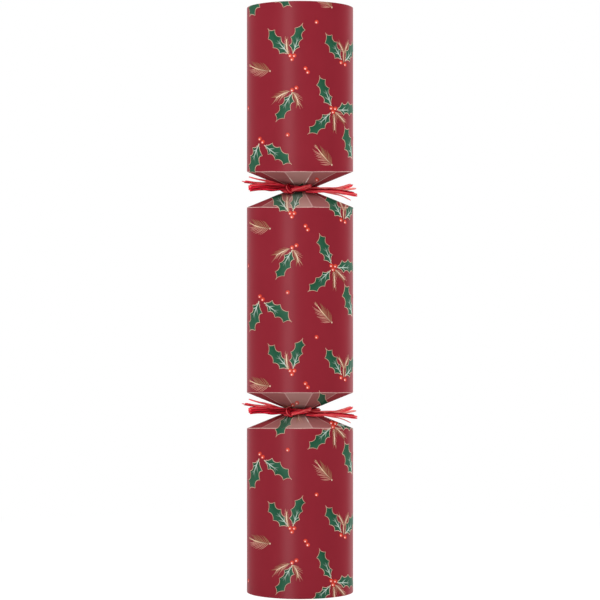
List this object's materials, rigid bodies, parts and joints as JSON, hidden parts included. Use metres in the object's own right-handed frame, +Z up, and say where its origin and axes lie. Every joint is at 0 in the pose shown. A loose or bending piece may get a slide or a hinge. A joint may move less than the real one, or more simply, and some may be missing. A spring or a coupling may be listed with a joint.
{
  "type": "christmas cracker",
  "caption": "Board tube folded in to two tied necks, with a pull-apart snap down its middle and a crown, slip and gift loose inside.",
  "frame": {"origin": "centre of the lower rim, on the surface that the cracker stands on", "axes": "+Z up along the tube, -Y towards the front where the ties are knotted, +X to the right of the front"},
  "size_m": [0.0606, 0.0556, 0.305],
  "materials": {
    "printed_board": "satin laminated print",
    "raffia": "dyed paper raffia",
    "snap_card": "uncoated grey board",
    "friction_grit": "rough",
    "snap_compound": "matte",
    "sleeve_paper": "kraft paper",
    "tissue": "tissue",
    "slip_paper": "uncoated",
    "top_plastic": "gloss",
    "spindle_wood": "turned"
  },
  "bodies": {
    "lower_end": {"lower_end_card": "printed_board", "lower_raffia_tie": "raffia", "snap_lower_strip": "snap_card", "snap_powder_patch": "snap_compound", "snap_sleeve": "sleeve_paper"},
    "barrel": {"barrel_card": "printed_board"},
    "upper_end": {"upper_end_card": "printed_board", "upper_raffia_tie": "raffia", "snap_upper_strip": "snap_card", "snap_friction_patch": "friction_grit"},
    "crown": {"paper_crown": "tissue"},
    "slip": {"motto_slip": "slip_paper"},
    "gift": {"top_disc": "top_plastic", "top_spindle": "spindle_wood"}
  },
  "joints": [
    {"name": "barrel_pull", "type": "slide", "parent": "lower_end", "child": "barrel", "axis": [0, 0, 1], "range_m": [0, 0.1]},
    {"name": "upper_end_pull", "type": "slide", "parent": "barrel", "child": "upper_end", "axis": [0, 0, 1], "range_m": [0, 0.1]},
    {"name": "crown_shift", "type": "slide", "parent": "barrel", "child": "crown", "axis": [0, 0, 1], "range_m": [0, 0.03]},
    {"name": "slip_shift", "type": "slide", "parent": "barrel", "child": "slip", "axis": [0, 0, 1], "range_m": [0, 0.048]},
    {"name": "gift_shift", "type": "slide", "parent": "barrel", "child": "gift", "axis": [0, 0, 1], "range_m": [0, 0.075]}
  ]
}
